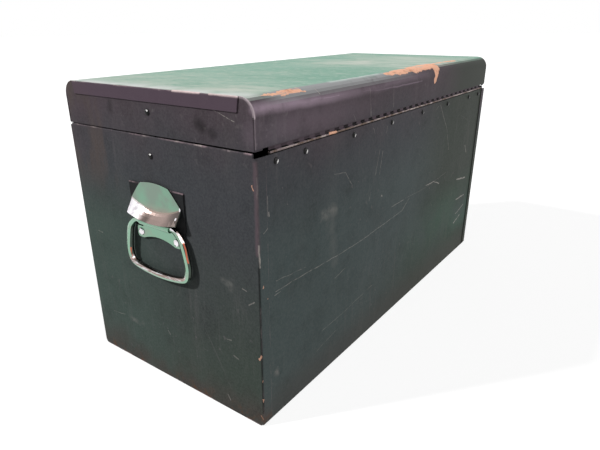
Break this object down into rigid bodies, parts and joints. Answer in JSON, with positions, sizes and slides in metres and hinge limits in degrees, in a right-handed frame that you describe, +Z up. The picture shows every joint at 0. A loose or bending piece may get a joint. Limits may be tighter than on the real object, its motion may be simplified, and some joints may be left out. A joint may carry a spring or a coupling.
{
  "type": "tool chest",
  "caption": "Long painted steel chest with a lift lid on a continuous rear hinge, slotted lid stays, hooded drop handles on both ends and a front hasp.",
  "frame": {"origin": "middle of the chest's base, on the surface that it stands on", "axes": "+X along the chest's length to its right-hand end, +Y to the hinge side, -Y the front with the hasp, +Z up"},
  "size_m": [0.7122, 0.318, 0.377],
  "materials": {
    "green_paint": "aged semi-gloss dark green paint, chipped to a salmon primer on edges",
    "painted_rivet": "dark paint over rivet heads and lid stays",
    "worn_steel": "worn dull steel",
    "zinc_steel": "dull zinc plate",
    "chrome": "bright chrome plate"
  },
  "bodies": {
    "body": {"body_wrapper": "green_paint", "body_end_right": "green_paint", "body_end_left": "green_paint", "hinge_body_leaf": "worn_steel", "hinge_pin": "worn_steel", "hinge_rivet_1": "painted_rivet", "hinge_rivet_2": "painted_rivet", "hinge_rivet_3": "painted_rivet", "hinge_rivet_4": "painted_rivet", "hinge_rivet_5": "painted_rivet", "hinge_rivet_6": "painted_rivet", "hinge_rivet_7": "painted_rivet", "hinge_rivet_8": "painted_rivet", "stay_body_pin_right": "painted_rivet", "stay_body_pin_left": "painted_rivet", "handle_plate_right": "green_paint", "handle_plate_left": "green_paint", "handle_saddle_right": "chrome", "handle_saddle_left": "chrome", "handle_hood_right": "chrome", "handle_hood_left": "chrome", "handle_rivet_right_1": "chrome", "handle_rivet_right_2": "chrome", "handle_rivet_left_1": "chrome", "handle_rivet_left_2": "chrome", "hasp_base": "zinc_steel", "hasp_pin": "zinc_steel", "hasp_rivet_1": "zinc_steel", "hasp_rivet_2": "zinc_steel"},
    "lid": {"lid_shell": "green_paint", "lid_end_right": "green_paint", "lid_end_left": "green_paint", "hinge_lid_leaf": "worn_steel", "stay_lid_pin_right": "painted_rivet", "stay_lid_pin_left": "painted_rivet", "hasp_staple": "zinc_steel", "staple_plate": "zinc_steel"},
    "stay_right": {"stay_arm_right": "painted_rivet"},
    "stay_left": {"stay_arm_left": "painted_rivet"},
    "bail_right": {"handle_bail_right": "chrome"},
    "bail_left": {"handle_bail_left": "chrome"},
    "hasp": {"hasp_strap": "zinc_steel"}
  },
  "joints": [
    {"name": "lid_hinge", "type": "hinge", "parent": "body", "child": "lid", "pos_m": [0, 0.1508, 0.3232], "axis": [-1, 0, 0], "range_deg": [0, 100]},
    {"name": "stay_right_pivot", "type": "hinge", "parent": "lid", "child": "stay_right", "pos_m": [0.3357, 0, 0.351], "axis": [-1, 0, 0], "range_deg": [-50, 0]},
    {"name": "stay_left_pivot", "type": "hinge", "parent": "lid", "child": "stay_left", "pos_m": [-0.3357, 0, 0.351], "axis": [-1, 0, 0], "range_deg": [-50, 0]},
    {"name": "bail_right_swing", "type": "hinge", "parent": "body", "child": "bail_right", "pos_m": [0.3462, 0, 0.2235], "axis": [0, -1, 0], "range_deg": [0, 90]},
    {"name": "bail_left_swing", "type": "hinge", "parent": "body", "child": "bail_left", "pos_m": [-0.3462, 0, 0.2235], "axis": [0, 1, 0], "range_deg": [0, 90]},
    {"name": "hasp_swing", "type": "hinge", "parent": "body", "child": "hasp", "pos_m": [0, -0.1545, 0.317], "axis": [-1, 0, 0], "range_deg": [0, 180]}
  ],
  "couplings": [
    {"joint": "stay_right_pivot", "follows": "lid_hinge", "ratio": -0.5},
    {"joint": "stay_left_pivot", "follows": "lid_hinge", "ratio": -0.5}
  ]
}
